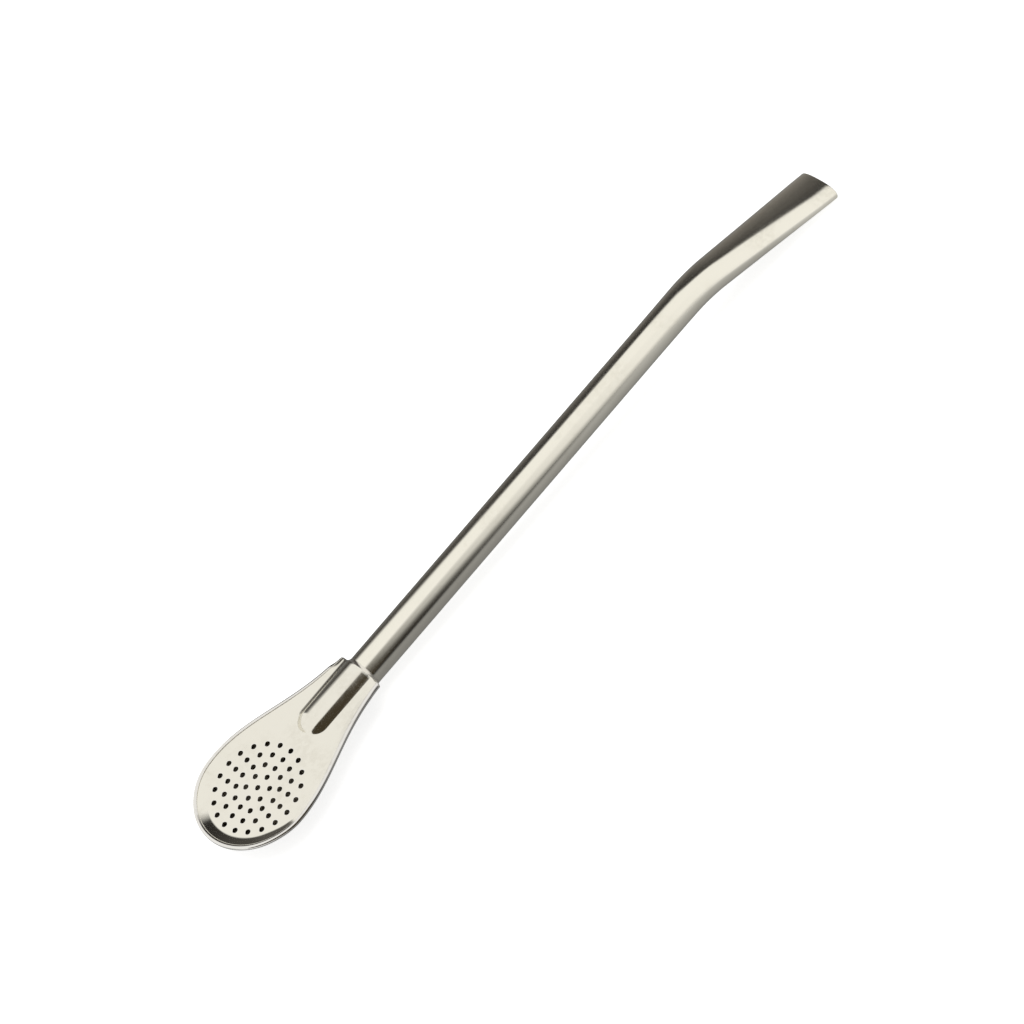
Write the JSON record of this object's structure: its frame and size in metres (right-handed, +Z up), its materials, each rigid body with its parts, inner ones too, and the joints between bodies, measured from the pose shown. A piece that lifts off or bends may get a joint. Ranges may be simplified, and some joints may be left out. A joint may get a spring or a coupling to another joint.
{
  "type": "bombilla",
  "caption": "Steel drinking straw for mate: a round tube with a bent, flattened mouthpiece, brazed into a perforated, spoon-shaped strainer with a folded rim.",
  "frame": {"origin": "middle of the flat underside of the bowl, on the surface that the straw lies on, under the middle of the hole pattern", "axes": "+X along the straw from the spoon towards the mouthpiece, +Z up, out of the perforated face; the straw is at rest on its bowl and its mouthpiece"},
  "size_m": [0.2015, 0.0306, 0.0142],
  "materials": {
    "tube_steel": "polished, with fine lengthwise drawing lines",
    "front_steel": "polished",
    "back_steel": "polished",
    "braze": "satin, polished over with the neck"
  },
  "bodies": {
    "root": {"stem_tube": "tube_steel", "front_strainer": "front_steel", "back_shell": "back_steel", "neck_braze": "braze"}
  },
  "joints": []
}
